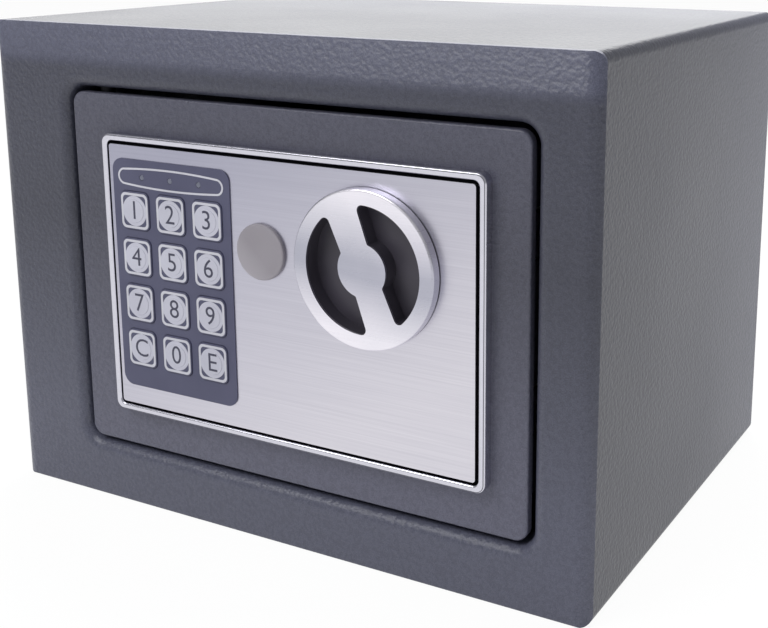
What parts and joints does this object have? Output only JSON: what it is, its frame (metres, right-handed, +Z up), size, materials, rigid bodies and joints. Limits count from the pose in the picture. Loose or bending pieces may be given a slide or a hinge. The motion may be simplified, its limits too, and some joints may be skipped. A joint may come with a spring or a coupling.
{
  "type": "safe deposit box",
  "caption": "Small steel safe with a keypad-locked door, a knob that throws two bolts, an emergency key lock, an inner battery hatch and a felt-lined inside.",
  "frame": {"origin": "middle of the cabinet's base, on the surface it stands on", "axes": "+X to the right as seen from the front, +Y from the door towards the back panel, +Z up"},
  "size_m": [0.23, 0.1764, 0.17],
  "materials": {
    "powder_coat": "hammered powder coat, slate grey",
    "door_coat": "fine powder coat, dark slate grey",
    "inner_coat": "satin powder coat",
    "felt": "needled felt",
    "black_oxide": "blackened steel, oiled",
    "steel": "turned, bright",
    "zinc_plate": "zinc plated",
    "bolt_steel": "polished",
    "chrome_rim": "bright plated plastic",
    "knob_chrome": "satin turned",
    "brushed_face": "brushed along its length",
    "dark_plastic": "moulded, fine grain",
    "tray_plastic": "moulded, black",
    "overlay_film": "printed film, satin",
    "key_film": "printed film over a moulded key",
    "lamp_lens": "tinted, clear lacquer",
    "circuit_board": "green solder mask",
    "dome_steel": "spring steel",
    "lock_chrome": "nickel plated",
    "brass": "machined",
    "cap_plastic": "moulded, satin",
    "coil_tape": "yellow coil tape",
    "cell_wrap": "plain wrap, steel ends",
    "reset_plastic": "moulded"
  },
  "bodies": {
    "cabinet": {"cabinet_shell": "powder_coat", "front_frame": "powder_coat", "back_panel": "powder_coat", "floor_mat": "felt", "upper_hinge_bracket": "inner_coat", "lower_hinge_bracket": "inner_coat"},
    "door": {"door_plate": "door_coat", "hinge_blocks": "inner_coat", "upper_hinge_pin": "black_oxide", "lower_hinge_pin": "black_oxide", "panel_bezel": "chrome_rim", "panel_tray": "tray_plastic", "panel_face": "brushed_face", "keypad_overlay": "overlay_film", "keypad_board": "circuit_board", "switch_domes": "dome_steel", "indicator_lamps": "lamp_lens", "panel_nuts": "zinc_plate", "key_lock_barrel": "lock_chrome", "key_lock_nut": "zinc_plate", "knob_bush": "brass", "bolt_guide": "zinc_plate", "guide_studs": "steel", "solenoid_frame": "zinc_plate", "solenoid_coil": "coil_tape", "plunger_spring": "zinc_plate", "inner_cover": "inner_coat", "cover_standoffs": "steel", "cover_screws": "zinc_plate", "battery_box": "dark_plastic", "battery_cells": "cell_wrap", "control_board": "circuit_board"},
    "knob": {"knob_ring": "knob_chrome", "knob_cup": "dark_plastic", "knob_spindle": "steel", "drive_arm": "steel", "spindle_clip": "steel"},
    "bolts": {"bolt_carriage": "zinc_plate", "upper_bolt": "bolt_steel", "lower_bolt": "bolt_steel", "bolt_rivets": "steel"},
    "plunger": {"solenoid_plunger": "bolt_steel"},
    "key_lock": {"key_lock_plug": "brass", "key_lock_cam": "lock_chrome"},
    "key_cap": {"key_cover_cap": "cap_plastic"},
    "battery_hatch": {"battery_cover": "dark_plastic"},
    "reset": {"reset_button": "reset_plastic"},
    "key_1_body": {"key_1": "key_film"},
    "key_2_body": {"key_2": "key_film"},
    "key_3_body": {"key_3": "key_film"},
    "key_4_body": {"key_4": "key_film"},
    "key_5_body": {"key_5": "key_film"},
    "key_6_body": {"key_6": "key_film"},
    "key_7_body": {"key_7": "key_film"},
    "key_8_body": {"key_8": "key_film"},
    "key_9_body": {"key_9": "key_film"},
    "key_c_body": {"key_c": "key_film"},
    "key_0_body": {"key_0": "key_film"},
    "key_e_body": {"key_e": "key_film"}
  },
  "joints": [
    {"name": "door_hinge", "type": "hinge", "parent": "cabinet", "child": "door", "pos_m": [-0.069, -0.0778, 0.0845], "axis": [0, 0, -1], "range_deg": [0, 105]},
    {"name": "knob_turn", "type": "hinge", "parent": "door", "child": "knob", "pos_m": [0.0416, -0.085, 0.1014], "axis": [0, -1, 0], "range_deg": [0, 70]},
    {"name": "bolt_throw", "type": "slide", "parent": "door", "child": "bolts", "axis": [1, 0, 0], "range_m": [0, 0.01721]},
    {"name": "plunger_drop", "type": "slide", "parent": "door", "child": "plunger", "axis": [0, 0, -1], "range_m": [0, 0.004], "deforming": ["plunger_spring"]},
    {"name": "key_lock_turn", "type": "hinge", "parent": "door", "child": "key_lock", "pos_m": [0.0018, -0.085, 0.1014], "axis": [0, 1, 0], "range_deg": [-90, 0]},
    {"name": "cap_pull", "type": "slide", "parent": "door", "child": "key_cap", "axis": [0, -1, 0], "range_m": [0, 0.015]},
    {"name": "battery_cover_pull", "type": "slide", "parent": "door", "child": "battery_hatch", "axis": [0, 1, 0], "range_m": [0, 0.02]},
    {"name": "reset_press", "type": "slide", "parent": "door", "child": "reset", "axis": [0, -1, 0], "range_m": [0, 0.001], "stiffness_N_per_m": 300},
    {"name": "key_1_press", "type": "slide", "parent": "door", "child": "key_1_body", "axis": [0, 1, 0], "range_m": [0, 0.0004], "stiffness_N_per_m": 600},
    {"name": "key_2_press", "type": "slide", "parent": "door", "child": "key_2_body", "axis": [0, 1, 0], "range_m": [0, 0.0004], "stiffness_N_per_m": 600},
    {"name": "key_3_press", "type": "slide", "parent": "door", "child": "key_3_body", "axis": [0, 1, 0], "range_m": [0, 0.0004], "stiffness_N_per_m": 600},
    {"name": "key_4_press", "type": "slide", "parent": "door", "child": "key_4_body", "axis": [0, 1, 0], "range_m": [0, 0.0004], "stiffness_N_per_m": 600},
    {"name": "key_5_press", "type": "slide", "parent": "door", "child": "key_5_body", "axis": [0, 1, 0], "range_m": [0, 0.0004], "stiffness_N_per_m": 600},
    {"name": "key_6_press", "type": "slide", "parent": "door", "child": "key_6_body", "axis": [0, 1, 0], "range_m": [0, 0.0004], "stiffness_N_per_m": 600},
    {"name": "key_7_press", "type": "slide", "parent": "door", "child": "key_7_body", "axis": [0, 1, 0], "range_m": [0, 0.0004], "stiffness_N_per_m": 600},
    {"name": "key_8_press", "type": "slide", "parent": "door", "child": "key_8_body", "axis": [0, 1, 0], "range_m": [0, 0.0004], "stiffness_N_per_m": 600},
    {"name": "key_9_press", "type": "slide", "parent": "door", "child": "key_9_body", "axis": [0, 1, 0], "range_m": [0, 0.0004], "stiffness_N_per_m": 600},
    {"name": "key_c_press", "type": "slide", "parent": "door", "child": "key_c_body", "axis": [0, 1, 0], "range_m": [0, 0.0004], "stiffness_N_per_m": 600},
    {"name": "key_0_press", "type": "slide", "parent": "door", "child": "key_0_body", "axis": [0, 1, 0], "range_m": [0, 0.0004], "stiffness_N_per_m": 600},
    {"name": "key_e_press", "type": "slide", "parent": "door", "child": "key_e_body", "axis": [0, 1, 0], "range_m": [0, 0.0004], "stiffness_N_per_m": 600}
  ],
  "couplings": [
    {"joint": "knob_turn", "follows": "bolt_throw", "rad_per_m": 71.001}
  ]
}
